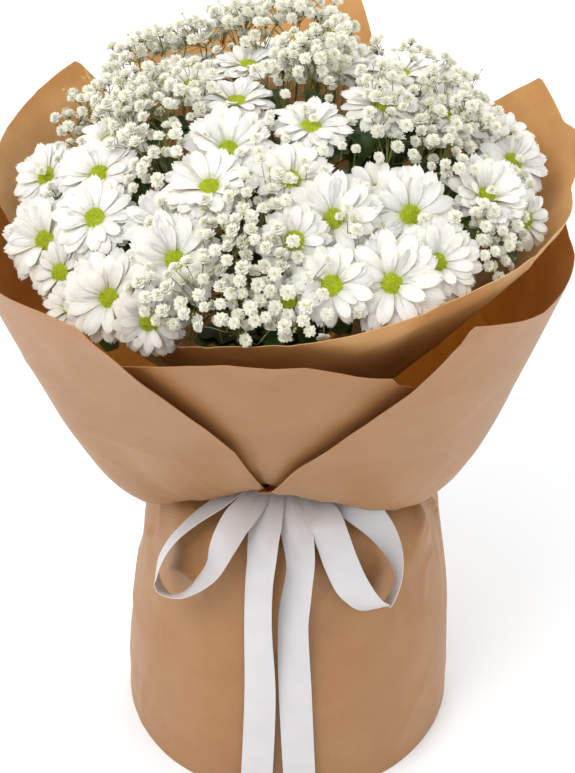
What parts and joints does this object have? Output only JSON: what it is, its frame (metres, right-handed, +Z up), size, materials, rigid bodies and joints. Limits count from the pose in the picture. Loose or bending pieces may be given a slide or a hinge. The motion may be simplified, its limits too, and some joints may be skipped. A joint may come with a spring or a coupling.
{
  "type": "bunch of daisies",
  "caption": "Hand-tied bunch of white spray daisies with gypsophila, wrapped in kraft paper with a folded collar and tied with a satin ribbon bow; stands on its stems and skirt.",
  "frame": {"origin": "middle of the cut end of the middle stem, on the surface the bunch stands on", "axes": "+Z up along the middle stem, -Y towards the ribbon bow at the front, +X to the right as seen from the front"},
  "size_m": [0.4205, 0.4258, 0.5655],
  "materials": {
    "kraft_paper": "uncoated brown wrapping paper, matt with soft creases",
    "satin_ribbon": "white woven satin",
    "green_stem_and_leaf": "living plant stem, leaf and yellow-green flower heart",
    "gypsophila": "white florets on thin green twigs",
    "white_petal": "soft matt petal"
  },
  "bodies": {
    "root": {"paper_skirt": "kraft_paper", "paper_back": "kraft_paper", "paper_left": "kraft_paper", "paper_right": "kraft_paper", "paper_front": "kraft_paper", "paper_collar": "kraft_paper", "ribbon": "satin_ribbon", "daisy_spray_back_left": "green_stem_and_leaf", "daisy_spray_back_right": "green_stem_and_leaf", "daisy_spray_front": "green_stem_and_leaf", "daisy_spray_left": "green_stem_and_leaf", "daisy_spray_middle": "green_stem_and_leaf", "daisy_spray_right": "green_stem_and_leaf", "gypsophila_back": "gypsophila", "gypsophila_front": "gypsophila", "gypsophila_left": "gypsophila", "gypsophila_right": "gypsophila", "daisy_01": "white_petal", "daisy_02": "white_petal", "daisy_03": "white_petal", "daisy_04": "white_petal", "daisy_05": "white_petal", "daisy_06": "white_petal", "daisy_07": "white_petal", "daisy_08": "white_petal", "daisy_09": "white_petal", "daisy_10": "white_petal", "daisy_11": "white_petal", "daisy_12": "white_petal", "daisy_13": "white_petal", "daisy_14": "white_petal", "daisy_15": "white_petal", "daisy_16": "white_petal", "daisy_17": "white_petal", "daisy_18": "white_petal", "daisy_19": "white_petal", "daisy_20": "white_petal", "daisy_21": "white_petal", "daisy_22": "white_petal", "daisy_23": "white_petal", "daisy_24": "white_petal", "daisy_25": "white_petal", "daisy_26": "white_petal", "daisy_27": "white_petal", "daisy_28": "white_petal", "daisy_29": "white_petal", "daisy_30": "white_petal", "daisy_31": "white_petal", "daisy_32": "white_petal", "daisy_33": "white_petal", "daisy_34": "white_petal", "daisy_35": "white_petal", "daisy_36": "white_petal", "daisy_37": "white_petal", "daisy_38": "white_petal", "daisy_39": "white_petal", "daisy_40": "white_petal", "daisy_41": "white_petal", "daisy_42": "white_petal", "daisy_43": "white_petal"}
  },
  "joints": []
}
